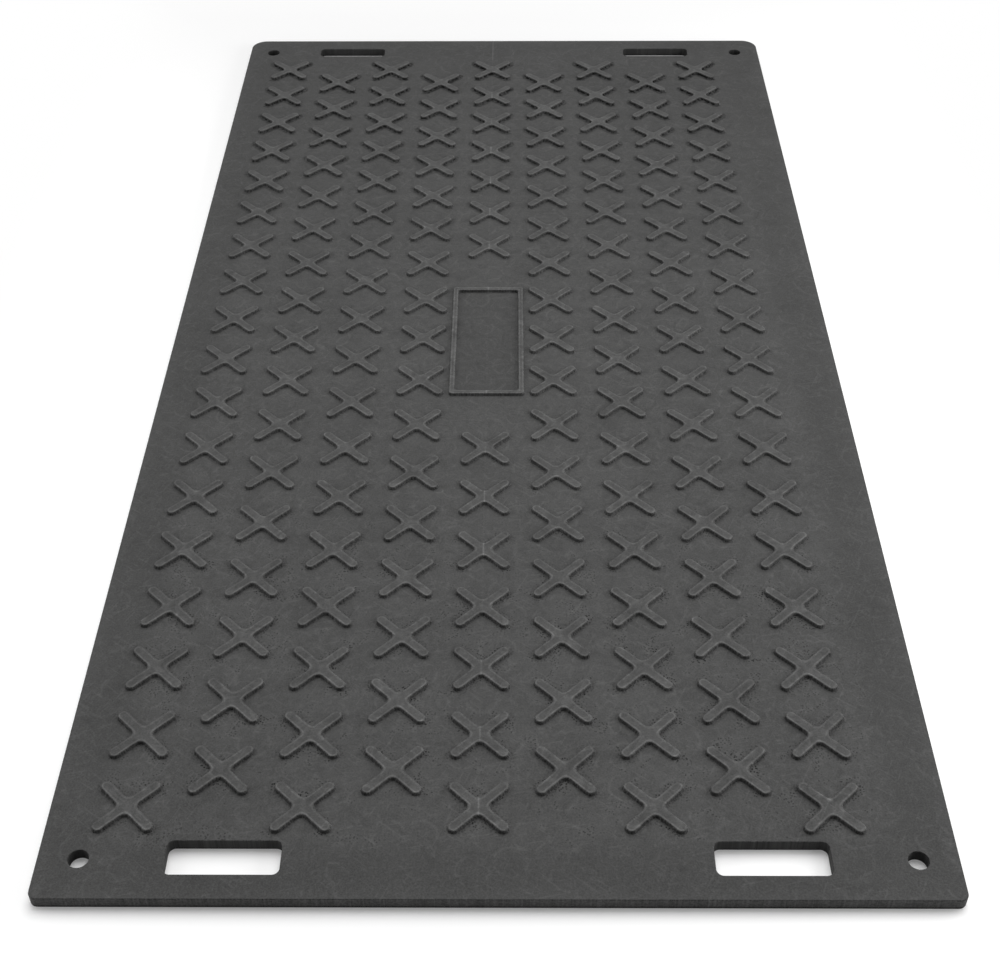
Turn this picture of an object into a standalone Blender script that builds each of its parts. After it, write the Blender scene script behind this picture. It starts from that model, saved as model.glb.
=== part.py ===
"""Ground protection mat, moulded in one piece from black HDPE.

A flat sheet with a staggered field of raised X treads, a plain raised label border, two hand slots
at each end and a round fixing hole in each corner.

Metres, +Z up. The mat lies flat, its long side along Y and its front end at -Y. The origin is the
middle of the underside.
"""

import math

import bmesh
import bpy

MM = 0.001

# The sheet: eight feet by four
SHEET_LENGTH = 2440 * MM
SHEET_WIDTH = 1220 * MM
SHEET_THICKNESS = 18 * MM
FRONT_CORNER_RADIUS = 12 * MM
BACK_CORNER_RADIUS = 34 * MM
RIM_CHAMFER = 1.5 * MM

# One tread: two crossed arms with round ends, its walls leaning out for the mould
TREAD_SPAN = 82 * MM
TREAD_ARM_WIDTH = 15 * MM
TREAD_INNER_RADIUS = 9 * MM
TREAD_HEIGHT = 5 * MM
TREAD_DRAFT = 1 * MM

# The field of treads: every second column is set half a pitch along
TREAD_COLUMNS = 9
TREAD_ROWS = 18
FIELD_FRONT_MARGIN = 145 * MM
FIELD_BACK_MARGIN = 157 * MM
FIELD_LEFT_MARGIN = 105 * MM
FIELD_RIGHT_MARGIN = 158 * MM

# The blank label border, in the middle of the field
BORDER_LENGTH = 332 * MM
BORDER_WIDTH = 134 * MM
BORDER_RIB = 9.5 * MM
BORDER_HEIGHT = 5 * MM
BORDER_DRAFT = 1 * MM
BORDER_CORNER_RADIUS = 6 * MM
BORDER_TREAD_GAP = 5 * MM

# Hand slots and fixing holes, placed by the insets of their centres
SLOT_LENGTH = 154 * MM
SLOT_CORNER_RADIUS = 10 * MM
SLOT_SIDE_INSET = 246 * MM
FRONT_SLOT_WIDTH = 53 * MM
FRONT_SLOT_INSET = 64.5 * MM
BACK_SLOT_WIDTH = 38 * MM
BACK_SLOT_INSET = 61.5 * MM
HOLE_DIAMETER = 28 * MM
HOLE_SIDE_INSET = 55 * MM
HOLE_END_INSET = 62 * MM

# Facets of the round parts
SHEET_CORNER_STEPS = 3
SLOT_CORNER_STEPS = 2
BORDER_CORNER_STEPS = 1
HOLE_SIDES = 16
ARM_END_STEPS = 3

# How far a tread or rib starts below the sheet's top, and how far a cutter runs past the sheet
ROOT_DEPTH = 2 * MM
CUTTER_OVERRUN = 10 * MM

# The finish
HDPE_COLOUR = (0.076, 0.076, 0.075, 1.0)
HDPE_ROUGHNESS = 0.55


def arc(centre, radius, start, turn, steps):
    """Points on an arc, from the angle start, through the angle turn."""
    angles = [start + turn * step / steps for step in range(steps + 1)]
    return [(centre[0] + radius * math.cos(a), centre[1] + radius * math.sin(a)) for a in angles]


def rounded_rectangle(width, length, front_radius, back_radius, steps, centre=(0.0, 0.0)):
    """An anticlockwise outline, from the front right corner."""
    corners = ((1, -1, front_radius), (1, 1, back_radius), (-1, 1, back_radius), (-1, -1, front_radius))
    points = []
    for index, (side, end, radius) in enumerate(corners):
        middle = (centre[0] + side * (width / 2 - radius), centre[1] + end * (length / 2 - radius))
        points += arc(middle, radius, math.radians(90 * (index - 1)), math.radians(90), steps)
    return points


def tread_outline(grow):
    """The cross around the origin, its edge moved out by grow.

    Each quarter is one arm's round end and the point at the middle of the next inner corner's fillet.
    """
    half_arm = TREAD_ARM_WIDTH / 2
    reach = (TREAD_SPAN / 2 - half_arm) * math.sqrt(2)
    inner_radius = min(TREAD_INNER_RADIUS, reach - half_arm)
    inner_reach = half_arm * math.sqrt(2) + inner_radius * (math.sqrt(2) - 1) + grow
    points = []
    for quarter in range(4):
        along = math.radians(45 + 90 * quarter)
        end_centre = (reach * math.cos(along), reach * math.sin(along))
        points += arc(end_centre, half_arm + grow, along - math.radians(90), math.radians(180), ARM_END_STEPS)
        between = along + math.radians(45)
        points.append((inner_reach * math.cos(between), inner_reach * math.sin(between)))
    return points


def add_ring(mesh, outline, height):
    """A loop of vertices at one height."""
    return [mesh.verts.new((x, y, height)) for x, y in outline]


def add_wall(mesh, low_ring, high_ring):
    """The faces between two rings of as many points. They face out where the rings run anticlockwise."""
    count = len(low_ring)
    for i in range(count):
        j = (i + 1) % count
        mesh.faces.new((low_ring[i], low_ring[j], high_ring[j], high_ring[i]))


def add_block(mesh, low_outline, low, high_outline, high):
    """A closed solid between two outlines of as many points."""
    low_ring = add_ring(mesh, low_outline, low)
    high_ring = add_ring(mesh, high_outline, high)
    add_wall(mesh, low_ring, high_ring)
    mesh.faces.new(high_ring)
    mesh.faces.new(reversed(low_ring))


def new_object(name, mesh, material=None):
    """An object at the origin from an edited mesh."""
    data = bpy.data.meshes.new(name)
    mesh.to_mesh(data)
    mesh.free()
    obj = bpy.data.objects.new(name, data)
    bpy.context.collection.objects.link(obj)
    if material:
        data.materials.append(material)
    return obj


def hide_tool(obj):
    """Keeps a cutter or a body that is joined on out of the model."""
    obj.hide_render = True
    obj.display_type = 'WIRE'
    return obj


def hdpe_material():
    material = bpy.data.materials.new("black_hdpe")
    material.use_nodes = True
    shader = material.node_tree.nodes["Principled BSDF"]
    shader.inputs["Base Color"].default_value = HDPE_COLOUR
    shader.inputs["Roughness"].default_value = HDPE_ROUGHNESS
    shader.inputs["Metallic"].default_value = 0.0
    return material


def make_sheet(material):
    """The bare sheet, with its top edge broken by a small chamfer."""
    mesh = bmesh.new()
    outline = rounded_rectangle(
        SHEET_WIDTH, SHEET_LENGTH, FRONT_CORNER_RADIUS, BACK_CORNER_RADIUS, SHEET_CORNER_STEPS)
    chamfered = rounded_rectangle(
        SHEET_WIDTH - 2 * RIM_CHAMFER, SHEET_LENGTH - 2 * RIM_CHAMFER,
        FRONT_CORNER_RADIUS - RIM_CHAMFER, BACK_CORNER_RADIUS - RIM_CHAMFER, SHEET_CORNER_STEPS)
    floor_ring = add_ring(mesh, outline, 0.0)
    side_ring = add_ring(mesh, outline, SHEET_THICKNESS - RIM_CHAMFER)
    top_ring = add_ring(mesh, chamfered, SHEET_THICKNESS)
    add_wall(mesh, floor_ring, side_ring)
    add_wall(mesh, side_ring, top_ring)
    mesh.faces.new(top_ring)
    mesh.faces.new(reversed(floor_ring))
    return new_object("mat", mesh, material)


def tread_centres():
    """The middle of every tread, without those that the label border takes."""
    column_pitch = (SHEET_WIDTH - FIELD_LEFT_MARGIN - FIELD_RIGHT_MARGIN) / (TREAD_COLUMNS - 1)
    row_pitch = (SHEET_LENGTH - FIELD_FRONT_MARGIN - FIELD_BACK_MARGIN) / (TREAD_ROWS - 1)
    border_x, border_y = border_centre()
    clear_x = (BORDER_WIDTH + TREAD_SPAN) / 2 + BORDER_TREAD_GAP
    clear_y = (BORDER_LENGTH + TREAD_SPAN) / 2 + BORDER_TREAD_GAP
    centres = []
    for column in range(TREAD_COLUMNS):
        staggered = column % 2
        x = FIELD_LEFT_MARGIN - SHEET_WIDTH / 2 + column * column_pitch
        for row in range(TREAD_ROWS - staggered):
            y = FIELD_FRONT_MARGIN - SHEET_LENGTH / 2 + (row + staggered / 2) * row_pitch
            if abs(x - border_x) >= clear_x or abs(y - border_y) >= clear_y:
                centres.append((x, y))
    return centres


def border_centre():
    """The label border sits in the middle of the field, on its middle column."""
    return (FIELD_LEFT_MARGIN - FIELD_RIGHT_MARGIN) / 2, (FIELD_FRONT_MARGIN - FIELD_BACK_MARGIN) / 2


def make_treads(material):
    """All the treads in one object, each drafted and rooted in the sheet."""
    slope = TREAD_DRAFT / TREAD_HEIGHT
    root = tread_outline(TREAD_DRAFT + slope * ROOT_DEPTH)
    crown = tread_outline(0.0)
    mesh = bmesh.new()
    for x, y in tread_centres():
        add_block(
            mesh,
            [(x + px, y + py) for px, py in root], SHEET_THICKNESS - ROOT_DEPTH,
            [(x + px, y + py) for px, py in crown], SHEET_THICKNESS + TREAD_HEIGHT)
    return hide_tool(new_object("tread_field", mesh, material))


def border_outline(inset):
    """The border's outline, moved in by inset, which is negative to move it out."""
    return rounded_rectangle(
        BORDER_WIDTH - 2 * inset, BORDER_LENGTH - 2 * inset,
        max(BORDER_CORNER_RADIUS - inset, RIM_CHAMFER), max(BORDER_CORNER_RADIUS - inset, RIM_CHAMFER),
        BORDER_CORNER_STEPS, border_centre())


def make_border(material):
    """The closed rib around the blank label place, drafted inside and outside."""
    slope = BORDER_DRAFT / BORDER_HEIGHT
    root_grow = BORDER_DRAFT + slope * ROOT_DEPTH
    low = SHEET_THICKNESS - ROOT_DEPTH
    high = SHEET_THICKNESS + BORDER_HEIGHT
    mesh = bmesh.new()
    outer_low = add_ring(mesh, border_outline(-root_grow), low)
    outer_high = add_ring(mesh, border_outline(0.0), high)
    inner_high = add_ring(mesh, border_outline(BORDER_RIB), high)
    inner_low = add_ring(mesh, border_outline(BORDER_RIB + root_grow), low)
    add_wall(mesh, outer_low, outer_high)
    add_wall(mesh, outer_high, inner_high)
    add_wall(mesh, inner_high, inner_low)
    add_wall(mesh, inner_low, outer_low)
    return hide_tool(new_object("label_border", mesh, material))


def make_openings():
    """The cutters of the hand slots and the fixing holes, in one object."""
    low = -CUTTER_OVERRUN
    high = SHEET_THICKNESS + TREAD_HEIGHT + CUTTER_OVERRUN
    slot_rows = (
        (FRONT_SLOT_WIDTH, FRONT_SLOT_INSET - SHEET_LENGTH / 2),
        (BACK_SLOT_WIDTH, SHEET_LENGTH / 2 - BACK_SLOT_INSET))
    mesh = bmesh.new()
    for side in (-1, 1):
        for width, y in slot_rows:
            centre = (side * (SHEET_WIDTH / 2 - SLOT_SIDE_INSET), y)
            slot = rounded_rectangle(
                SLOT_LENGTH, width, SLOT_CORNER_RADIUS, SLOT_CORNER_RADIUS, SLOT_CORNER_STEPS, centre)
            add_block(mesh, slot, low, slot, high)
        for end in (-1, 1):
            centre = (side * (SHEET_WIDTH / 2 - HOLE_SIDE_INSET), end * (SHEET_LENGTH / 2 - HOLE_END_INSET))
            hole = arc(centre, HOLE_DIAMETER / 2, 0.0, math.radians(360), HOLE_SIDES)[:-1]
            add_block(mesh, hole, low, hole, high)
    return hide_tool(new_object("opening_cutters", mesh))


def add_boolean(obj, operation, other):
    modifier = obj.modifiers.new(other.name, 'BOOLEAN')
    modifier.operation = operation
    modifier.solver = 'EXACT'
    modifier.object = other


def main():
    for obj in list(bpy.data.objects):
        bpy.data.objects.remove(obj, do_unlink=True)
    material = hdpe_material()
    mat = make_sheet(material)
    add_boolean(mat, 'UNION', make_treads(material))
    add_boolean(mat, 'UNION', make_border(material))
    add_boolean(mat, 'DIFFERENCE', make_openings())


main()
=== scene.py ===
"""Ground protection mat: the finished looks of one moulded HDPE sheet with raised X treads.

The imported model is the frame. The sheet, treads and label border are modelled again here with true
arcs and rounded edges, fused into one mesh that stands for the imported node.
"""

import math

import bmesh
import bpy
from mathutils import Matrix, Vector


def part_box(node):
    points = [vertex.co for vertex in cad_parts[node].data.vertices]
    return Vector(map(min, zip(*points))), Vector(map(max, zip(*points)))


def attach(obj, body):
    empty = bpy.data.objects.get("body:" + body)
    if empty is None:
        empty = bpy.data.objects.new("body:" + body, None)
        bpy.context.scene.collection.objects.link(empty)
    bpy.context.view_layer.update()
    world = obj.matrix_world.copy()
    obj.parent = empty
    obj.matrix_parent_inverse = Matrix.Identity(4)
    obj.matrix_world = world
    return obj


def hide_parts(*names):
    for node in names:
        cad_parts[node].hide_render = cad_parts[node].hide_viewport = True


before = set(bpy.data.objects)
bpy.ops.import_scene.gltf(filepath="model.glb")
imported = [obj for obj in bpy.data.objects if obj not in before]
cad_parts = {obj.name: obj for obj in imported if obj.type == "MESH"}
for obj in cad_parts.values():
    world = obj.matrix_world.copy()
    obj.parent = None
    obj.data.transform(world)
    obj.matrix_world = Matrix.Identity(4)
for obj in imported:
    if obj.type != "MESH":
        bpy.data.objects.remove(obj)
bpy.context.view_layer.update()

MM = 0.001
SQUARE_MM = MM * MM
DIAGONAL = math.sqrt(2)
# Points closer than this are the same point
TOUCH = 0.01 * MM

# The sheet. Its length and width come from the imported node's box.
MAT_LOW, MAT_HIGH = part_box("mat")
WIDTH = MAT_HIGH[0] - MAT_LOW[0]
LENGTH = MAT_HIGH[1] - MAT_LOW[1]
RELIEF = 5 * MM
SHEET_TOP = MAT_HIGH[2] - RELIEF
FRONT_CORNER_RADIUS = 12 * MM
FRONT_CORNER_SEGMENTS = 8
BACK_CORNER_RADIUS = 34 * MM
BACK_CORNER_SEGMENTS = 14
RIM_RADIUS = 1.5 * MM
RIM_SEGMENTS = 4

# One tread
TREAD_SPAN = 82 * MM
ARM_WIDTH = 15 * MM
ARM_REACH = (TREAD_SPAN - ARM_WIDTH) / 2 * DIAGONAL
INNER_RADIUS = 9 * MM
INNER_SEGMENTS = 5
END_SEGMENTS = 6
TREAD_DRAFT = 1.9 * MM
TREAD_EDGE_RADIUS = 1.2 * MM
TREAD_EDGE_SEGMENTS = 3
TREAD_TURN = math.radians(45)
FOOT_RADIUS = 0.7 * MM
FOOT_SEGMENTS = 2

# How deep a tread or rib is rooted in the sheet before it is fused. A tread's root widens downwards,
# by NECK_SPREAD just under the sheet's top and by ROOT_SPREAD at its bottom.
ROOT = 2 * MM
ROOT_SPREAD = 0.5 * MM
NECK_SPREAD = 0.3 * MM
NECK_DEPTH = 0.15 * MM

# The field of treads
COLUMNS = 9
ROWS = 18
FRONT_MARGIN = 145 * MM
BACK_MARGIN = 157 * MM
LEFT_MARGIN = 105 * MM
RIGHT_MARGIN = 158 * MM
COLUMN_PITCH = (WIDTH - LEFT_MARGIN - RIGHT_MARGIN) / (COLUMNS - 1)
ROW_PITCH = (LENGTH - FRONT_MARGIN - BACK_MARGIN) / (ROWS - 1)
FIELD_X = (LEFT_MARGIN - RIGHT_MARGIN) / 2
FIELD_Y = (FRONT_MARGIN - BACK_MARGIN) / 2

# The blank label border, in the middle of the field, by its sizes at the top
BORDER_LENGTH = 332 * MM
BORDER_WIDTH = 134 * MM
BORDER_RIB = 9.5 * MM
BORDER_DRAFT = 1 * MM
BORDER_CORNER_RADIUS = 6 * MM
BORDER_CORNER_SEGMENTS = 5
BORDER_EDGE_RADIUS = 1.3 * MM
BORDER_EDGE_SEGMENTS = 3

# Hand slots and fixing holes, by the insets of their centres
SLOT_LENGTH = 154 * MM
SLOT_CORNER_RADIUS = 10 * MM
SLOT_CORNER_SEGMENTS = 10
SLOT_SIDE_INSET = 246 * MM
FRONT_SLOT_WIDTH = 53 * MM
FRONT_SLOT_INSET = 64.5 * MM
BACK_SLOT_WIDTH = 38 * MM
BACK_SLOT_INSET = 61.5 * MM
HOLE_DIAMETER = 28 * MM
HOLE_SIDES = 48
HOLE_SIDE_INSET = 55 * MM
HOLE_END_INSET = 62 * MM
OPENING_RIM_RADIUS = 1 * MM
OPENING_RIM_SEGMENTS = 3
# How far round an opening an edge counts as on it, and how far the cutters run past the sheet
OPENING_SPARE = 1 * MM
CUT_PAST = 10 * MM

# Edges that turn by less than this are shaded smooth
SMOOTH_ANGLE = math.radians(50)

# The plastic: its grey level, its roughness and the fine bump of its skin
HDPE_LEVEL = 0.0683
BLUE_SHARE = 0.99
HDPE_SPECULAR = 0.03
ROUGHNESS = 0.60
PATCHES_ROUGHNESS = 0.3
RAISED_POLISH = 0.06
SKIN = {"scale": 800, "detail": 1}
SKIN_STRENGTH = 0.25
SKIN_DEPTH = 0.3 * MM

# All that follows changes the grey level. An AMOUNT is the share by which a mark makes it lighter or
# darker. A pair is where a mark starts and where it is whole, in a noise's values, in metres, in the
# upward part of a face's normal, or in products of two offsets where it is in square millimetres.

# Mottling at every scale, from clouds 150 mm across down to a grain of 2 or 3 mm. Scales are per
# metre. It is stronger between the treads than in the plain margins, and the grain at the front end.
NOISE_MEAN = 0.5
CLOUDS = {"scale": 6.5, "detail": 2}
CLOUDS_AMOUNT = 0.20
PATCHES = {"scale": 19, "detail": 2, "distortion": 0.6}
PATCHES_AMOUNT = 0.22
BLOTCHES = {"scale": 42, "detail": 3, "roughness": 0.6, "distortion": 0.8}
BLOTCHES_AMOUNT = 0.29
FIELD_MOTTLING = 1.5
MOTTLE = {"scale": 130, "detail": 2, "roughness": 0.6, "distortion": 0.5}
MOTTLE_AMOUNT = 0.24
GRAIN = {"scale": 360, "detail": 2, "roughness": 0.8}
GRAIN_AMOUNT = 0.60
FRONT_GRAIN_AMOUNT = 0.18
GRAINY_FRONT = (-0.90, -1.20)

# Marks of handling: winding lines, small curls, rings and straight scratches. A LINE is the value
# that the mark follows and its half width. MARKS_LEVEL is what they add on average.
WORMS = {"scale": 40, "detail": 0, "distortion": 1.0}
WORM_LINE = (0.5, 0.08)
WORM_PLACES = (0.42, 0.56)
WORM_AMOUNT = 0.14
CURLS = {"scale": 85, "detail": 0, "distortion": 1.5}
CURL_LINE = (0.5, 0.12)
CURL_PLACES = (0.58, 0.44)
CURL_AMOUNT = 0.10
RING_CELLS = 15
RING_LINE = (0.34, 0.05)
RING_PLACES = (0.44, 0.54)
RING_AMOUNT = 0.15
SCRATCHES = {"scale": 260, "detail": 0}
SCRATCH_STRETCH = 14
SCRATCH_ANGLES_AND_STARTS = ((12, 0.76), (64, 0.77), (-38, 0.76))
SCRATCH_SOFTNESS = 0.10
SCRATCH_AMOUNT = 0.15
MARKS_LEVEL = 0.05

# Pits in the sheet's skin, in clusters and round the treads' feet, and most of them at the front. Round the
# treads' feet the pits also paint a speckled shade.
PIT_CELLS = 220
PIT_EDGE = (0.38, 0.20)
PIT_BLOTCHES = (0.50, 0.60)
PIT_PATCHES = (0.50, 0.56)
FOOT_PIT_REACH = (15 * MM, 4 * MM)
FOOT_PIT_PATCHES = (0.44, 0.54)
FOOT_PITS_AND_SHADE_SHARE = 0.7
MARGIN_PIT_LOSS = 0.6
PIT_GRAIN = (0.36, 0.50)
PIT_AMOUNT = 0.18
FRONT_PIT_AMOUNT = 0.40
PITTED_FRONT = (-0.30, -0.70)

# Which part of the mat a point is on. FAR runs along the mat to its back end.
RAISED = (SHEET_TOP + 0.5 * RELIEF, SHEET_TOP + 0.8 * RELIEF)
LEVEL_FACES = (0.80, 0.95)
SLOPING_FACES = (0.05, 0.15)
UPRIGHT_FACES = (0.6, 0.3)
PLAIN_MARGIN = (-105 * MM, -60 * MM)
FAR = (0.1, 1.1)

# The treads: pale rims, partly wear and partly a painted highlight that is strongest on each side of an arm
# that faces the mat's front; paler hubs and near ends; a painted sheen on the far rows' tops; painted shade
# at the feet on those front sides; and painted light and shade on the walls. TREAD_BLEND rounds the
# pattern's inner corners as INNER_RADIUS does the real ones. TREAD_LEVEL is what the marks add on average.
TREAD_BLEND = 15.7 * MM
FRONT_SIDE = (-20 * SQUARE_MM, 40 * SQUARE_MM)
RIM_LINE = (-1.9 * MM, 2.1 * MM)
RIM_SHARE = 0.8
FRONT_RIM_HIGHLIGHT_SHARE = 0.6
RIM_AMOUNT = 0.09
MOTTLED_RIM_AMOUNT = 0.52
NEAR_END = (-25 * MM, -36 * MM)
NEAR_END_AMOUNT = 0.09
HUB_LINE = (0, 5 * MM)
HUB_LINE_SHARE = 0.7
HUB_REACH = (14 * MM, 8 * MM)
HUB_SHARE = 0.3
HUB_AMOUNT = 0.09
FALLING_ARMS = (60 * SQUARE_MM, -60 * SQUARE_MM)
FALLING_AMOUNT = 0.08
TREAD_BLOTCHES_AMOUNT = 0.4
TREAD_LEVEL = 0.24
# The far rows' tread tops are painted lighter, a painted sheen
FAR_TREAD_SHEEN_AMOUNT = 0.13
SPECKLES = (0.44, 0.56)
# Painted shade at the treads' feet, on the sides that face the mat's front: speckled, and wider and darker
# in the far rows
FOOT_SHADE_REACH = (9 * MM, 2 * MM)
FOOT_SHADE_AMOUNT = 0.24
FAR_FOOT_SHADE_REACH = (12 * MM, 7 * MM)
FAR_FOOT_SHADE_AMOUNT = 0.28
FAR_SPECKLED_SHADE_AMOUNT = 0.34
# The tread walls are painted a little darker, and painted lighter in the far rows, with a coarse grain
WALL_SHADE_AMOUNT = -0.03
FAR_WALL_PAINTED_LIGHT_AMOUNT = 0.24
WALL_GRAIN_AMOUNT = 1.8

# Small marks of the mould: pale spots by their middle and radius, and pale rings round two tread ends
MOULD_SPOTS = (
    (-0.250, -0.958, 5 * MM), (0.203, -0.955, 5 * MM), (-0.502, -1.060, 6 * MM),
    (0.452, -1.062, 6 * MM), (0.097, -0.881, 5 * MM), (0.217, -0.817, 5 * MM))
SPOT_CORE = 0.4
MOULD_RINGS = ((-0.103, -0.426, 7 * MM), (0.052, -0.432, 9 * MM))
MOULD_RING_WIDTH = 2 * MM
MOULD_RING_PLACES = (0.40, 0.55)
MOULD_MARK_AMOUNT = 0.28

# The mould's parting line down the field's middle, palest on the treads and at the back end
SEAM_LINE = (0, 2.2 * MM)
SEAM_AMOUNT = 0.06
TREAD_SEAM_PLACES = (0.35, 0.60)
TREAD_SEAM_AMOUNT = 0.45
BACK_SEAM = (1.10, 1.14)
BACK_SEAM_AMOUNT = 0.60

# The label's darker place and its rib, the rubbed edge of the sheet's top, the plain margins, and painted
# light and shade along and across the mat: painted shade towards the back end and on the right, and a
# painted lighter strip down the middle
PANEL_SOFTNESS = 2 * MM
PANEL_AMOUNT = 0.13
RIB_EDGE = (1 * MM, 0)
RIB_AMOUNT = 0.04
RUBBED_EDGE = (-24 * MM, -3 * MM)
RUBBED_AMOUNT = 0.07
PLAIN_AMOUNT = 0.13
FAR_PLAIN_AMOUNT = 0.09
FAR_PAINTED_SHADE_AMOUNT = 0.09
MIDDLE_STRIP = (0.40, 0.05)
MIDDLE_PAINTED_LIGHT_AMOUNT = 0.04
RIGHT_STRIP = (0.15, 0.45)
RIGHT_PAINTED_SHADE_AMOUNT = 0.04

# The sheet's outer face, stained and painted lighter, with painted shade at its foot, and painted shade on
# the walls of its openings, most in the far ones
OUTER_FACE = (-4 * MM, -2 * MM)
OUTER_PAINTED_LIGHT_AMOUNT = 0.26
STAINS = {"scale": 330, "detail": 1, "roughness": 0.7, "dimensions": '3D'}
STAIN_PLACES = (0.38, 0.60)
STAIN_AMOUNT = 0.45
FOOT_SHADE_BAND = (5 * MM, 1.5 * MM)
FOOT_SHADE_BAND_AMOUNT = 0.45
OPENING_WALL = (SHEET_TOP - 0.5 * MM, SHEET_TOP - 3 * MM)
OPENING_SHADE_AMOUNT = 0.12
FAR_OPENING_SHADE_AMOUNT = 0.25

# The camera, fitted to the mat's corners in the photograph
CAMERA_AT = (0.017, -2.394, 1.775)
CAMERA_LENS = 57.06
CAMERA_SENSOR = 36
CAMERA_DOWN = math.radians(41.75)
CAMERA_LEFT = math.radians(0.52)
CAMERA_ROLL = math.radians(-0.32)

# The floor keeps the mat's shadow for SHADOW_REACH round it, and is plain white from WHITE_FROM on
WHITE = (1, 1, 1, 1)
FLOOR_SIZE = 60
FLOOR_DROP = 0.5 * MM
FLOOR_COLOUR = (0.98, 0.98, 0.98, 1)
FLOOR_GLOW = 0.155
SHADOW_REACH = 0.08
WHITE_FROM = 0.40

# The light: even light all round, a wide lamp high behind the mat, and a low broad lamp on each side.
# Their shares on the mat's top add up to about 1.
WORLD_LIGHT = 0.13
BACK_SHARE = 0.67
BACK_HEIGHT = math.radians(55)
BACK_SPREAD = math.radians(55)
BACK_SIDE = math.radians(5)
SIDE_LAMP_OUT = 1.75
SIDE_LAMP_ALONG = -0.30
SIDE_LAMP_UP = 0.73
SIDE_LAMP_SIZE = (2.4, 0.9)
RIGHT_LAMP_WATTS = 28.5
LEFT_LAMP_WATTS = 14.0


def deselect():
    if bpy.context.mode != 'OBJECT':
        bpy.ops.object.mode_set(mode='OBJECT')
    bpy.ops.object.select_all(action='DESELECT')


def activate(obj):
    deselect()
    obj.select_set(True)
    bpy.context.view_layer.objects.active = obj


def pick(obj, kind, test):
    """Selects the edited mesh's verts, edges or faces that pass the test.

    The test is given a vert's place, an edge's two ends, or a face's middle and normal.
    """
    bpy.ops.mesh.select_mode(type=kind)
    bpy.ops.mesh.select_all(action='DESELECT')
    mesh = bmesh.from_edit_mesh(obj.data)
    for item in {'VERT': mesh.verts, 'EDGE': mesh.edges, 'FACE': mesh.faces}[kind]:
        if kind == 'VERT':
            chosen = test(item.co)
        elif kind == 'EDGE':
            chosen = test(item.verts[0].co, item.verts[1].co)
        else:
            chosen = test(item.calc_center_median(), item.normal)
        item.select_set(chosen)
    mesh.select_flush_mode()
    bmesh.update_edit_mesh(obj.data)


def near(a, b):
    return abs(a - b) < TOUCH


def upright(a, b):
    """Whether an edge runs straight up."""
    return near(a.x, b.x) and near(a.y, b.y)


def add_box(name, low, high):
    """A cube primitive at its size and place, in edit mode."""
    deselect()
    middle = [(l + h) / 2 for l, h in zip(low, high)]
    bpy.ops.mesh.primitive_cube_add(size=1, location=middle, scale=[h - l for l, h in zip(low, high)])
    obj = bpy.context.object
    obj.name = name
    bpy.ops.object.transform_apply(location=True, rotation=True, scale=True)
    bpy.ops.object.mode_set(mode='EDIT')
    return obj


def bevel(offset, segments, affect='EDGES'):
    bpy.ops.mesh.bevel(offset=offset, segments=segments, affect=affect, offset_type='OFFSET')


def apply_boolean(obj, operation, tool):
    """Cuts or joins with another solid, which is then removed."""
    activate(obj)
    modifier = obj.modifiers.new(operation.lower(), 'BOOLEAN')
    modifier.operation = operation
    modifier.solver = 'EXACT'
    modifier.object = tool
    bpy.ops.object.modifier_apply(modifier=modifier.name)
    bpy.data.objects.remove(tool)


def join(objects, name):
    deselect()
    for obj in objects:
        obj.select_set(True)
    bpy.context.view_layer.objects.active = objects[0]
    bpy.ops.object.join()
    joined = bpy.context.object
    joined.name = name
    return joined


def make_sheet():
    """The bare sheet: a box with its corners and its top edge rounded."""
    low = (-WIDTH / 2, -LENGTH / 2, 0.0)
    high = (WIDTH / 2, LENGTH / 2, SHEET_TOP)
    sheet = add_box("mat_sheet", low, high)
    pick(sheet, 'EDGE', lambda a, b: upright(a, b) and a.y < 0)
    bevel(FRONT_CORNER_RADIUS, FRONT_CORNER_SEGMENTS)
    pick(sheet, 'EDGE', lambda a, b: upright(a, b) and a.y > 0)
    bevel(BACK_CORNER_RADIUS, BACK_CORNER_SEGMENTS)
    pick(sheet, 'EDGE', lambda a, b: near(a.z, SHEET_TOP) and near(b.z, SHEET_TOP))
    bevel(RIM_RADIUS, RIM_SEGMENTS)
    return sheet


def slot_places():
    """Each hand slot's centre and width."""
    places = []
    for side in (-1, 1):
        x = side * (WIDTH / 2 - SLOT_SIDE_INSET)
        places.append((x, FRONT_SLOT_INSET - LENGTH / 2, FRONT_SLOT_WIDTH))
        places.append((x, LENGTH / 2 - BACK_SLOT_INSET, BACK_SLOT_WIDTH))
    return places


def hole_places():
    return [
        (side * (WIDTH / 2 - HOLE_SIDE_INSET), end * (LENGTH / 2 - HOLE_END_INSET))
        for side in (-1, 1) for end in (-1, 1)]


def in_opening(point):
    """Whether a point lies on or in a slot or a hole."""
    for x, y, width in slot_places():
        across, along = abs(point.x - x), abs(point.y - y)
        if across < SLOT_LENGTH / 2 + OPENING_SPARE and along < width / 2 + OPENING_SPARE:
            return True
    for x, y in hole_places():
        if math.hypot(point.x - x, point.y - y) < HOLE_DIAMETER / 2 + OPENING_SPARE:
            return True
    return False


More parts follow.
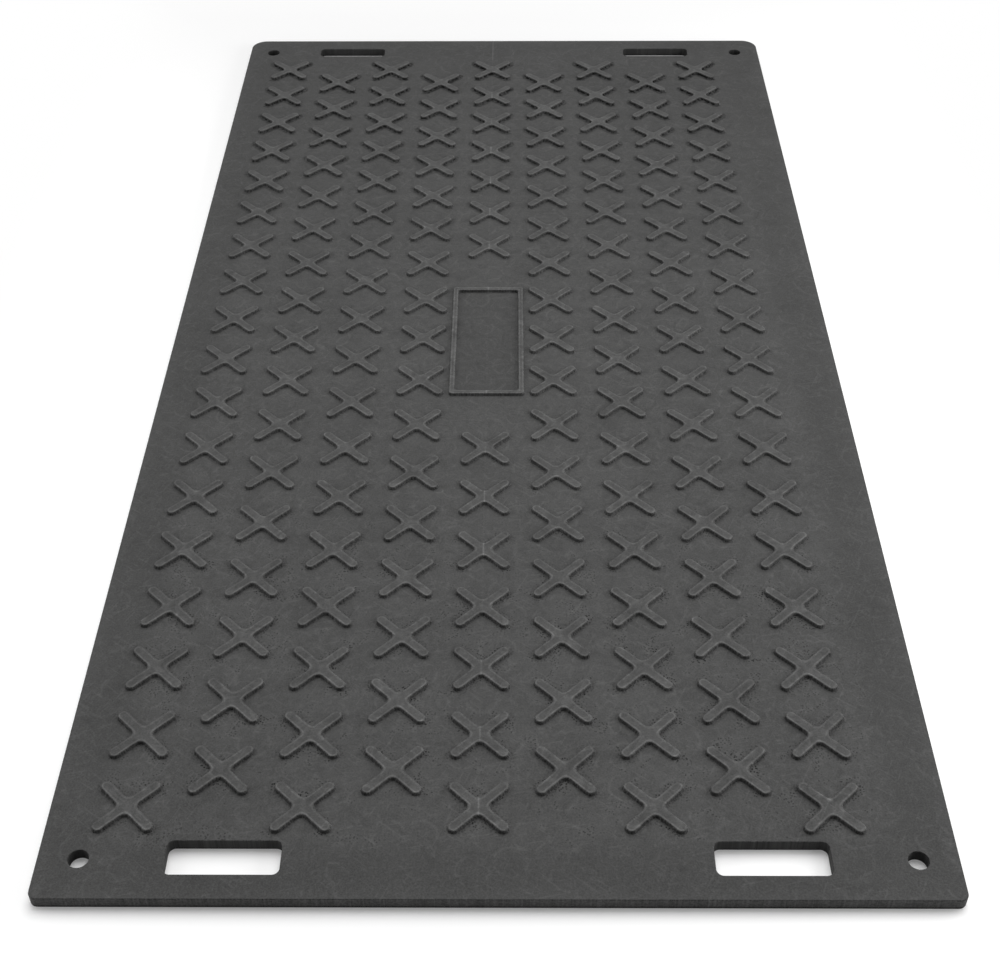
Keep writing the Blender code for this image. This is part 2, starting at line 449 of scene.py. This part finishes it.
def cut_openings(sheet):
    """Cuts the slots and holes, and rounds their top rims."""
    low, high = -CUT_PAST, SHEET_TOP + CUT_PAST
    cutters = []
    for x, y, width in slot_places():
        slot_low = (x - SLOT_LENGTH / 2, y - width / 2, low)
        slot_high = (x + SLOT_LENGTH / 2, y + width / 2, high)
        cutter = add_box("slot_cutter", slot_low, slot_high)
        pick(cutter, 'EDGE', upright)
        bevel(SLOT_CORNER_RADIUS, SLOT_CORNER_SEGMENTS)
        deselect()
        cutters.append(cutter)
    for x, y in hole_places():
        deselect()
        middle = (x, y, (low + high) / 2)
        bpy.ops.mesh.primitive_cylinder_add(
            vertices=HOLE_SIDES, radius=HOLE_DIAMETER / 2, depth=high - low, location=middle)
        bpy.ops.object.transform_apply(location=True, rotation=True, scale=True)
        cutters.append(bpy.context.object)
    apply_boolean(sheet, 'DIFFERENCE', join(cutters, "cutters"))
    bpy.ops.object.mode_set(mode='EDIT')

    def on_rim(a, b):
        level = near(a.z, SHEET_TOP) and near(b.z, SHEET_TOP)
        return level and in_opening(a) and in_opening(b) and in_opening((a + b) / 2)

    pick(sheet, 'EDGE', on_rim)
    bevel(OPENING_RIM_RADIUS, OPENING_RIM_SEGMENTS)
    deselect()


def tread_profile():
    """A tread's side from its root up, as offsets out from its top outline and heights over the sheet.

    A fillet turns from the sheet into the drafted wall.
    """
    turn = math.atan2(RELIEF, TREAD_DRAFT)
    foot = TREAD_DRAFT + FOOT_RADIUS * math.tan(turn / 2)
    profile = [(foot + ROOT_SPREAD, -ROOT), (foot + NECK_SPREAD, -NECK_DEPTH)]
    for step in range(1, FOOT_SEGMENTS + 1):
        angle = turn * step / FOOT_SEGMENTS
        profile.append((foot - FOOT_RADIUS * math.sin(angle), FOOT_RADIUS * (1 - math.cos(angle))))
    return profile + [(0.0, RELIEF)]


def make_tread():
    """One tread at the origin: a square pulled out into four arms, rounded, then raised by its profile."""
    profile = tread_profile()
    lean = profile[0][0]
    half = ARM_WIDTH / 2 + lean
    reach = ARM_REACH + half
    bottom, top = SHEET_TOP - ROOT, SHEET_TOP + RELIEF
    deselect()
    bpy.ops.mesh.primitive_plane_add(size=2 * half, location=(0, 0, bottom))
    tread = bpy.context.object
    tread.name = "tread"
    bpy.ops.object.transform_apply(location=True, rotation=True, scale=True)
    bpy.ops.object.mode_set(mode='EDIT')
    for dx, dy in ((1, 0), (0, 1), (-1, 0), (0, -1)):
        side = (dx * half, dy * half)
        pick(tread, 'EDGE', lambda a, b: near((a.x + b.x) / 2, side[0]) and near((a.y + b.y) / 2, side[1]))
        pull = (dx * (reach - half), dy * (reach - half), 0)
        bpy.ops.mesh.extrude_edges_move(TRANSFORM_OT_translate={"value": pull})
    bpy.ops.mesh.select_all(action='SELECT')
    bpy.ops.mesh.dissolve_faces()
    pick(tread, 'VERT', lambda v: near(abs(v.x), half) and near(abs(v.y), half))
    bevel(INNER_RADIUS - lean, INNER_SEGMENTS, 'VERTICES')
    pick(tread, 'VERT', lambda v: near(max(abs(v.x), abs(v.y)), reach))
    bevel(half, END_SEGMENTS, 'VERTICES')
    bpy.ops.mesh.select_all(action='SELECT')
    bpy.ops.mesh.remove_doubles(threshold=TOUCH)
    pick(tread, 'FACE', lambda middle, normal: normal.z < 0)
    bpy.ops.mesh.flip_normals()
    bpy.ops.mesh.select_all(action='SELECT')
    for (offset, height), (next_offset, next_height) in zip(profile, profile[1:]):
        bpy.ops.mesh.inset(thickness=offset - next_offset, depth=next_height - height)
    pick(tread, 'EDGE', lambda a, b: near(a.z, top) and near(b.z, top))
    bevel(TREAD_EDGE_RADIUS, TREAD_EDGE_SEGMENTS)
    pick(tread, 'EDGE', lambda a, b: near(a.z, bottom) and near(b.z, bottom))
    bpy.ops.mesh.edge_face_add()
    bpy.ops.mesh.select_all(action='SELECT')
    bpy.ops.mesh.normals_make_consistent(inside=False)
    bpy.ops.object.mode_set(mode='OBJECT')
    tread.rotation_euler = (0, 0, TREAD_TURN)
    activate(tread)
    bpy.ops.object.transform_apply(location=False, rotation=True, scale=False)
    return tread


def tread_centres():
    """The staggered field, without the treads that the label border takes."""
    centres = []
    for column in range(COLUMNS):
        staggered = column % 2
        x = LEFT_MARGIN - WIDTH / 2 + column * COLUMN_PITCH
        for row in range(ROWS - staggered):
            y = FRONT_MARGIN - LENGTH / 2 + (row + staggered / 2) * ROW_PITCH
            beside = abs(x - FIELD_X) >= (BORDER_WIDTH + TREAD_SPAN) / 2
            if beside or abs(y - FIELD_Y) >= (BORDER_LENGTH + TREAD_SPAN) / 2:
                centres.append((x, y))
    return centres


def make_tread_field():
    tread = make_tread()
    copies = []
    for x, y in tread_centres():
        copy = tread.copy()
        copy.data = tread.data.copy()
        copy.location = (x, y, 0)
        bpy.context.collection.objects.link(copy)
        copies.append(copy)
    bpy.data.objects.remove(tread)
    field = join(copies, "tread_field")
    bpy.ops.object.transform_apply(location=True, rotation=True, scale=True)
    return field


def drafted_block(name, width, length, low, high, lean=1):
    """A block in the middle of the field, its width and length given at the relief's top.

    It widens downwards by the draft, or narrows where lean is -1.
    """
    crown = SHEET_TOP + RELIEF
    slope = lean * BORDER_DRAFT / RELIEF
    half_x = width / 2 + slope * (crown - high)
    half_y = length / 2 + slope * (crown - high)
    spread = slope * (high - low)
    block_low = (FIELD_X - half_x, FIELD_Y - half_y, low)
    block_high = (FIELD_X + half_x, FIELD_Y + half_y, high)
    block = add_box(name, block_low, block_high)
    pick(block, 'FACE', lambda middle, normal: near(middle.z, low))
    bpy.ops.transform.resize(
        value=(1 + spread / half_x, 1 + spread / half_y, 1), center_override=(FIELD_X, FIELD_Y, low))
    pick(block, 'EDGE', lambda a, b: not near(a.z, b.z))
    bevel(BORDER_CORNER_RADIUS, BORDER_CORNER_SEGMENTS)
    deselect()
    return block


def along_border(a, b):
    """Whether an edge runs along the border rather than across its rib."""
    return (b - a).length < BORDER_RIB or near(a.x, b.x) or near(a.y, b.y)


def make_border():
    """The closed rib around the blank label place, drafted outside and inside."""
    low, high = SHEET_TOP - ROOT, SHEET_TOP + RELIEF
    border = drafted_block("label_border", BORDER_WIDTH, BORDER_LENGTH, low, high)
    inner_width, inner_length = BORDER_WIDTH - 2 * BORDER_RIB, BORDER_LENGTH - 2 * BORDER_RIB
    bore = drafted_block("border_bore", inner_width, inner_length, low - ROOT, high + ROOT, -1)
    apply_boolean(border, 'DIFFERENCE', bore)
    bpy.ops.object.mode_set(mode='EDIT')
    pick(border, 'EDGE', lambda a, b: near(a.z, high) and near(b.z, high) and along_border(a, b))
    bevel(BORDER_EDGE_RADIUS, BORDER_EDGE_SEGMENTS)
    deselect()
    return border


def make_mat():
    mat = make_sheet()
    cut_openings(mat)
    apply_boolean(mat, 'UNION', make_tread_field())
    apply_boolean(mat, 'UNION', make_border())
    activate(mat)
    mat.name = "ground_mat"
    bpy.ops.object.shade_smooth_by_angle(angle=SMOOTH_ANGLE)
    modifier = mat.modifiers.new("level_normals", 'WEIGHTED_NORMAL')
    modifier.keep_sharp = True
    bpy.ops.object.modifier_apply(modifier=modifier.name)
    return mat


def make_floor():
    deselect()
    bpy.ops.mesh.primitive_plane_add(size=FLOOR_SIZE, location=(0, 0, -FLOOR_DROP))
    floor = bpy.context.object
    floor.name = "floor"
    return floor


def make_camera():
    data = bpy.data.cameras.new("camera")
    data.lens = CAMERA_LENS
    data.sensor_width = CAMERA_SENSOR
    camera = bpy.data.objects.new("camera", data)
    bpy.context.collection.objects.link(camera)
    camera.location = CAMERA_AT
    turn = Matrix.Rotation(CAMERA_LEFT, 3, 'Z')
    tilt = Matrix.Rotation(math.pi / 2 - CAMERA_DOWN, 3, 'X')
    roll = Matrix.Rotation(CAMERA_ROLL, 3, 'Z')
    camera.rotation_euler = (turn @ tilt @ roll).to_euler()
    bpy.context.scene.camera = camera


class Wire:
    """A socket in a node tree, with Python's arithmetic for numbers."""

    def __init__(self, graph, socket):
        self.graph = graph
        self.socket = socket

    def math(self, operation, *values):
        return self.graph.add("Math", dict(enumerate(values)), operation=operation)

    def __add__(self, other):
        return self.math('ADD', self, other)

    def __radd__(self, other):
        return self.math('ADD', other, self)

    def __sub__(self, other):
        return self.math('SUBTRACT', self, other)

    def __rsub__(self, other):
        return self.math('SUBTRACT', other, self)

    def __mul__(self, other):
        return self.math('MULTIPLY', self, other)

    def __rmul__(self, other):
        return self.math('MULTIPLY', other, self)

    def __abs__(self):
        return self.math('ABSOLUTE', self)

    def max(self, other):
        return self.math('MAXIMUM', self, other)

    def min(self, other):
        return self.math('MINIMUM', self, other)

    def blend_min(self, other, reach):
        """The smaller of the two, with the corner between them rounded off."""
        return self.math('SMOOTH_MIN', self, other, reach)

    def root(self):
        return self.math('SQRT', self)

    def around(self, span):
        """The signed distance from the nearest multiple of twice the span."""
        return self.math('WRAP', self, span, -span)

    def below(self, other):
        """1 where this is the smaller of the two, and 0 elsewhere."""
        return self.math('LESS_THAN', self, other)

    def step(self, low, high):
        """0 below low and 1 above high, or the other way round where low is the larger."""
        sockets = {"Value": self, "From Min": low, "From Max": high}
        return self.graph.add("MapRange", sockets, interpolation_type='SMOOTHSTEP')

    def line(self, level, width):
        """1 where the value crosses the level, falling to 0 within the width."""
        return abs(self - level).step(width, 0)


class Graph:
    """A material's or the world's node tree, emptied, and the one way to add a node to it."""

    def __init__(self, owner):
        owner.use_nodes = True
        self.tree = owner.node_tree
        self.tree.nodes.clear()

    def add(self, kind, sockets, output=0, **settings):
        node = self.tree.nodes.new("ShaderNode" + kind)
        for name, value in settings.items():
            setattr(node, name, value)
        for name, value in sockets.items():
            if isinstance(value, Wire):
                self.tree.links.new(value.socket, node.inputs[name])
            else:
                node.inputs[name].default_value = value
        return Wire(self, node.outputs[output])

    def split(self, vector, axes):
        """Parts of a vector, by the letters of their axes."""
        return [self.add("SeparateXYZ", {"Vector": vector}, axis) for axis in axes]

    def finish(self, kind, surface):
        node = self.tree.nodes.new("ShaderNodeOutput" + kind)
        self.tree.links.new(surface.socket, node.inputs["Surface"])


def seen_directly(graph):
    """1 for what is seen straight, mirrored or through glass, 0 for the light that falls on the object."""
    camera_ray = graph.add("LightPath", {}, "Is Camera Ray")
    glossy_ray = graph.add("LightPath", {}, "Is Glossy Ray")
    transmission_ray = graph.add("LightPath", {}, "Is Transmission Ray")
    return camera_ray.max(glossy_ray).max(transmission_ray)


def past_sheet(x, y):
    """The distance out from the sheet's edge, negative on the sheet."""
    return (abs(x) - WIDTH / 2).max(abs(y) - LENGTH / 2)


def out_from(x, y, middle_x, middle_y):
    """The distance from a place on the mat, seen from above."""
    return ((x - middle_x) * (x - middle_x) + (y - middle_y) * (y - middle_y)).root()


def tread_edge(across, along):
    """The distance from a tread's edge, negative inside it, by the offsets from its middle."""
    one = (across + along) * (1 / DIAGONAL)
    other = abs(across - along) * (1 / DIAGONAL)

    def arm(down, beside):
        past = (down - ARM_REACH).max(0)
        return (past * past + beside * beside).root() - ARM_WIDTH / 2

    return arm(one, other).blend_min(arm(other, one), TREAD_BLEND)


class Relief:
    """How far a point is from the relief's edges, negative on its top, and where it lies on its tread.

    The rows of even columns stand half a pitch off the field's middle, and those of odd columns on it.
    Past the last rows and columns, and round the border, there are no treads.
    """

    def __init__(self, x, y):
        from_x, from_y = x - FIELD_X, y - FIELD_Y
        out_x, out_y = abs(from_x), abs(from_y)
        even_x, even_y = from_x.around(COLUMN_PITCH), (from_y - ROW_PITCH / 2).around(ROW_PITCH / 2)
        odd_x, odd_y = (from_x - COLUMN_PITCH).around(COLUMN_PITCH), from_y.around(ROW_PITCH / 2)
        even_reach_y, odd_reach_y = ROWS / 2 * ROW_PITCH, (ROWS - 1) / 2 * ROW_PITCH
        odd_reach_x = (COLUMNS - 2) / 2 * COLUMN_PITCH
        taken = (2 * ROW_PITCH - out_y).min(COLUMN_PITCH - out_x)
        even = tread_edge(abs(even_x), abs(even_y)).max(out_y - even_reach_y).max(taken)
        odd = tread_edge(abs(odd_x), abs(odd_y)).max(out_y - odd_reach_y).max(out_x - odd_reach_x)
        nearer = odd.below(even)
        self.across = even_x + (odd_x - even_x) * nearer
        self.along = even_y + (odd_y - even_y) * nearer
        self.box = (out_x - BORDER_WIDTH / 2).max(out_y - BORDER_LENGTH / 2)
        self.rib = abs(self.box + BORDER_RIB / 2) - BORDER_RIB / 2
        self.edge = even.min(odd).min(self.rib)


class Surface:
    """A point of the mat's surface: its place, the noises there, and which part of the mat it is on."""

    def __init__(self, graph):
        self.graph = graph
        self.place = graph.add("TexCoord", {}, "Object")
        self.x, self.y, self.z = graph.split(self.place, "XYZ")
        self.patches = self.noise(**PATCHES)
        self.blotches = self.noise(**BLOTCHES)
        self.mottle = self.noise(**MOTTLE)
        self.grain = self.noise(**GRAIN)
        self.relief = Relief(self.x, self.y)
        self.margin = past_sheet(self.x, self.y)
        self.plain = self.margin.step(*PLAIN_MARGIN)
        self.far = self.y.step(*FAR)
        self.raised = self.z.step(*RAISED)
        self.sheet = 1 - self.raised
        normal_z, = graph.split(graph.add("TexCoord", {}, "Normal"), "Z")
        self.tops = normal_z.step(*LEVEL_FACES)
        self.walls = (1 - self.tops) * abs(normal_z).step(*SLOPING_FACES)
        self.outside = self.margin.step(*OUTER_FACE) * abs(normal_z).step(*UPRIGHT_FACES)

    def noise(self, scale, detail, roughness=0.5, distortion=0.0, dimensions='2D', vector=None):
        sockets = {"Vector": vector or self.place, "Scale": scale, "Detail": detail, "Roughness": roughness,
                   "Distortion": distortion}
        return self.graph.add("TexNoise", sockets, "Fac", noise_dimensions=dimensions)

    def cells(self, scale):
        """The distance from the nearest of many scattered points, in cells."""
        sockets = {"Vector": self.place, "Scale": scale}
        return self.graph.add("TexVoronoi", sockets, "Distance", voronoi_dimensions='2D')

    def turned(self, degrees):
        """The place turned about Z and drawn out along one way, for scratches."""
        turn = (0, 0, math.radians(degrees))
        sockets = {"Vector": self.place, "Rotation": turn, "Scale": (SCRATCH_STRETCH, 1, 1)}
        return self.graph.add("Mapping", sockets, vector_type='TEXTURE')


def mottling(at):
    soft = (at.patches - NOISE_MEAN) * PATCHES_AMOUNT + (at.blotches - NOISE_MEAN) * BLOTCHES_AMOUNT
    tone = (at.noise(**CLOUDS) - NOISE_MEAN) * CLOUDS_AMOUNT
    tone = tone + soft * (FIELD_MOTTLING - at.plain * (FIELD_MOTTLING - 1))
    fine = GRAIN_AMOUNT + at.y.step(*GRAINY_FRONT) * FRONT_GRAIN_AMOUNT
    return tone + (at.mottle - NOISE_MEAN) * MOTTLE_AMOUNT + (at.grain - NOISE_MEAN) * fine


def handling_marks(at):
    worms = at.noise(**WORMS).line(*WORM_LINE) * at.mottle.step(*WORM_PLACES)
    curls = at.noise(**CURLS).line(*CURL_LINE) * at.mottle.step(*CURL_PLACES)
    rings = at.cells(RING_CELLS).line(*RING_LINE) * at.blotches.step(*RING_PLACES)
    scratches = 0
    for degrees, start in SCRATCH_ANGLES_AND_STARTS:
        along = at.noise(**SCRATCHES, vector=at.turned(degrees))
        scratches = along.step(start, start + SCRATCH_SOFTNESS) + scratches
    marks = worms * WORM_AMOUNT + curls * CURL_AMOUNT + rings * RING_AMOUNT + scratches * SCRATCH_AMOUNT
    return marks - MARKS_LEVEL


def pits(at):
    clusters = at.blotches.step(*PIT_BLOTCHES) * at.patches.step(*PIT_PATCHES)
    # Round the treads' feet the pits also paint a speckled shade
    pits_and_shade_round_feet = at.relief.edge.step(*FOOT_PIT_REACH) * at.patches.step(*FOOT_PIT_PATCHES)
    spread = (clusters + pits_and_shade_round_feet * FOOT_PITS_AND_SHADE_SHARE) * (1 - at.plain * MARGIN_PIT_LOSS)
    depth = PIT_AMOUNT + at.y.step(*PITTED_FRONT) * FRONT_PIT_AMOUNT
    shapes = at.cells(PIT_CELLS).step(*PIT_EDGE) * at.grain.step(*PIT_GRAIN)
    return shapes * spread * depth * at.sheet * at.tops


def tread_tone(at):
    """The tone of the treads' tops and walls and of the sheet at their feet: rims paler from wear and a
    painted highlight, a painted sheen far off, painted shade at the feet and painted light and shade on the
    walls.
    """
    across, along, edge = at.relief.across, at.relief.along, at.relief.edge
    front_side = (along * (abs(across) - abs(along))).step(*FRONT_SIDE)
    # Rims paler: partly wear, partly a painted highlight, more so on the sides that face the mat's front
    rim_wear_and_highlight = edge.line(*RIM_LINE) * (RIM_SHARE + front_side * FRONT_RIM_HIGHLIGHT_SHARE)
    hub = across.line(*HUB_LINE) * HUB_LINE_SHARE + abs(across).max(abs(along)).step(*HUB_REACH) * HUB_SHARE
    top = (across * along).step(*FALLING_ARMS) * FALLING_AMOUNT + along.step(*NEAR_END) * NEAR_END_AMOUNT
    top = top + hub * HUB_AMOUNT + rim_wear_and_highlight * (RIM_AMOUNT + at.mottle * MOTTLED_RIM_AMOUNT)
    # The far rows' tops are painted lighter, a painted sheen
    top = top + at.blotches * TREAD_BLOTCHES_AMOUNT - TREAD_LEVEL + at.far * FAR_TREAD_SHEEN_AMOUNT
    speckled = at.mottle.step(*SPECKLES)
    # Painted shade at the feet, kept to the front sides below, speckled, and wider in the far rows
    painted_foot_shade = edge.step(*FOOT_SHADE_REACH) * speckled * FOOT_SHADE_AMOUNT
    far_painted_foot_shade = edge.step(*FAR_FOOT_SHADE_REACH) * at.far * (FAR_FOOT_SHADE_AMOUNT + speckled * FAR_SPECKLED_SHADE_AMOUNT)
    foot = (painted_foot_shade + far_painted_foot_shade) * front_side
    # The walls: painted a little darker, painted lighter in the far rows, and grained
    painted_wall_tone = WALL_SHADE_AMOUNT + at.far * FAR_WALL_PAINTED_LIGHT_AMOUNT + (at.grain - NOISE_MEAN) * WALL_GRAIN_AMOUNT
    return (1 + top * at.raised) * (1 - at.sheet * foot) * (1 + at.walls * painted_wall_tone)


def mould_marks(at):
    """The spots, the rings and the parting line that the mould leaves."""
    spots = 0
    for spot_x, spot_y, radius in MOULD_SPOTS:
        spots = out_from(at.x, at.y, spot_x, spot_y).step(radius, radius * SPOT_CORE) + spots
    for ring_x, ring_y, radius in MOULD_RINGS:
        ring = out_from(at.x, at.y, ring_x, ring_y).line(radius, MOULD_RING_WIDTH)
        spots = ring * at.blotches.step(*MOULD_RING_PLACES) + spots
    on_treads = at.raised * at.patches.step(*TREAD_SEAM_PLACES) * TREAD_SEAM_AMOUNT
    seam = SEAM_AMOUNT + on_treads + at.y.step(*BACK_SEAM) * BACK_SEAM_AMOUNT
    return (1 + spots * MOULD_MARK_AMOUNT) * (1 + abs(at.x - FIELD_X).line(*SEAM_LINE) * seam)


def top_tone(at):
    """The tone of the label's place and rib, the rubbed edge, the margins, painted shade towards the back
    end and on the right, and a painted lighter middle.
    """
    panel = at.relief.box.step(-BORDER_RIB, -BORDER_RIB - PANEL_SOFTNESS)
    on_rib = at.relief.rib.step(*RIB_EDGE) * at.raised
    rubbed = at.margin.step(*RUBBED_EDGE) * at.tops
    tone = (1 - panel * PANEL_AMOUNT) * (1 + on_rib * RIB_AMOUNT) * (1 + rubbed * RUBBED_AMOUNT)
    # Painted shade towards the back end, the plain margins darkened less there
    tone = tone * (1 - at.plain * (PLAIN_AMOUNT - at.far * FAR_PLAIN_AMOUNT)) * (1 - at.far * FAR_PAINTED_SHADE_AMOUNT)
    # A painted lighter strip down the middle and painted shade on the right side
    middle = abs(at.x).step(*MIDDLE_STRIP) * MIDDLE_PAINTED_LIGHT_AMOUNT
    return tone * (1 + middle - at.x.step(*RIGHT_STRIP) * RIGHT_PAINTED_SHADE_AMOUNT)


def side_tone(at):
    """The tone of the sheet's outer face, stained and painted lighter with painted shade at its foot, and
    painted shade on the walls of its openings.
    """
    stained = at.noise(**STAINS).step(*STAIN_PLACES)
    # Painted shade at the foot of the outer face, and painted shade on the walls of the openings, most in
    # the far ones
    foot_shade_band = at.z.step(*FOOT_SHADE_BAND) * at.outside
    shaded_opening_walls = at.z.step(*OPENING_WALL) * (1 - at.outside)
    # The outer face is painted lighter overall, besides its stains
    outer_stains_and_light = (stained - NOISE_MEAN) * STAIN_AMOUNT + OUTER_PAINTED_LIGHT_AMOUNT
    tone = (1 + at.outside * outer_stains_and_light) * (1 - foot_shade_band * FOOT_SHADE_BAND_AMOUNT)
    return tone * (1 - shaded_opening_walls * (OPENING_SHADE_AMOUNT + at.far * FAR_OPENING_SHADE_AMOUNT))


def hdpe_material():
    """Black HDPE, dulled to a mottled dark grey, with swirls, scratches and pits, edges paler from wear and
    a painted highlight, and painted light and shade on its treads, sides and openings.
    """
    material = bpy.data.materials.new("black_hdpe")
    g = Graph(material)
    at = Surface(g)
    level = HDPE_LEVEL * (1 + (mottling(at) + handling_marks(at) - pits(at)))
    level = level * tread_tone(at) * mould_marks(at) * top_tone(at) * side_tone(at)
    colour = g.add("CombineColor", {"Red": level, "Green": level, "Blue": level * BLUE_SHARE})
    rough = ROUGHNESS + (at.patches - NOISE_MEAN) * PATCHES_ROUGHNESS - at.raised * RAISED_POLISH
    skin = g.add("Bump", {"Height": at.noise(**SKIN), "Strength": SKIN_STRENGTH, "Distance": SKIN_DEPTH})
    shader = g.add("BsdfPrincipled", {
        "Base Color": colour, "Roughness": rough, "Specular IOR Level": HDPE_SPECULAR, "Normal": skin})
    g.finish("Material", shader)
    return material


def floor_material():
    """White paper: it keeps the mat's shadow, and runs to plain white away from it."""
    material = bpy.data.materials.new("white_floor")
    g = Graph(material)
    paper = g.add("BsdfDiffuse", {"Color": FLOOR_COLOUR})
    glow = g.add("Emission", {"Color": WHITE, "Strength": 1})
    x, y = g.split(g.add("TexCoord", {}, "Object"), "XY")
    away = past_sheet(x, y).step(SHADOW_REACH, WHITE_FROM)
    share = seen_directly(g) * (FLOOR_GLOW + away * (1 - FLOOR_GLOW))
    g.finish("Material", g.add("MixShader", {0: share, 1: paper, 2: glow}))
    return material


def light_scene():
    """The world's even light, the lamp behind the mat and the two beside it."""
    world = bpy.data.worlds.new("studio")
    bpy.context.scene.world = world
    g = Graph(world)
    strength = WORLD_LIGHT + seen_directly(g) * (1 - WORLD_LIGHT)
    g.finish("World", g.add("Background", {"Color": WHITE, "Strength": strength}))
    deselect()
    bpy.ops.object.light_add(type='SUN')
    lamp = bpy.context.object
    lamp.name = "back_light"
    lamp.data.energy = BACK_SHARE * math.pi / math.sin(BACK_HEIGHT)
    lamp.data.angle = BACK_SPREAD
    lamp.rotation_euler = (math.pi / 2 - BACK_HEIGHT, 0, math.pi - BACK_SIDE)
    add_side_lamp("right_light", 1, RIGHT_LAMP_WATTS)
    add_side_lamp("left_light", -1, LEFT_LAMP_WATTS)


def add_side_lamp(name, side, watts):
    """A broad lamp beside the mat, turned to the mat's middle and not seen itself."""
    place = Vector((side * SIDE_LAMP_OUT, SIDE_LAMP_ALONG, SIDE_LAMP_UP))
    deselect()
    bpy.ops.object.light_add(type='AREA', location=place)
    lamp = bpy.context.object
    lamp.name = name
    lamp.data.shape = 'RECTANGLE'
    lamp.data.size, lamp.data.size_y = SIDE_LAMP_SIZE
    lamp.data.energy = watts
    lamp.rotation_euler = (-place).to_track_quat('-Z', 'Y').to_euler()
    lamp.visible_camera = False


make_camera()
light_scene()
mat = make_mat()
mat.data.materials.clear()
mat.data.materials.append(hdpe_material())
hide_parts("mat")
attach(mat, "root")
floor = make_floor()
floor.data.materials.append(floor_material())

bpy.context.scene.view_settings.view_transform = 'Standard'
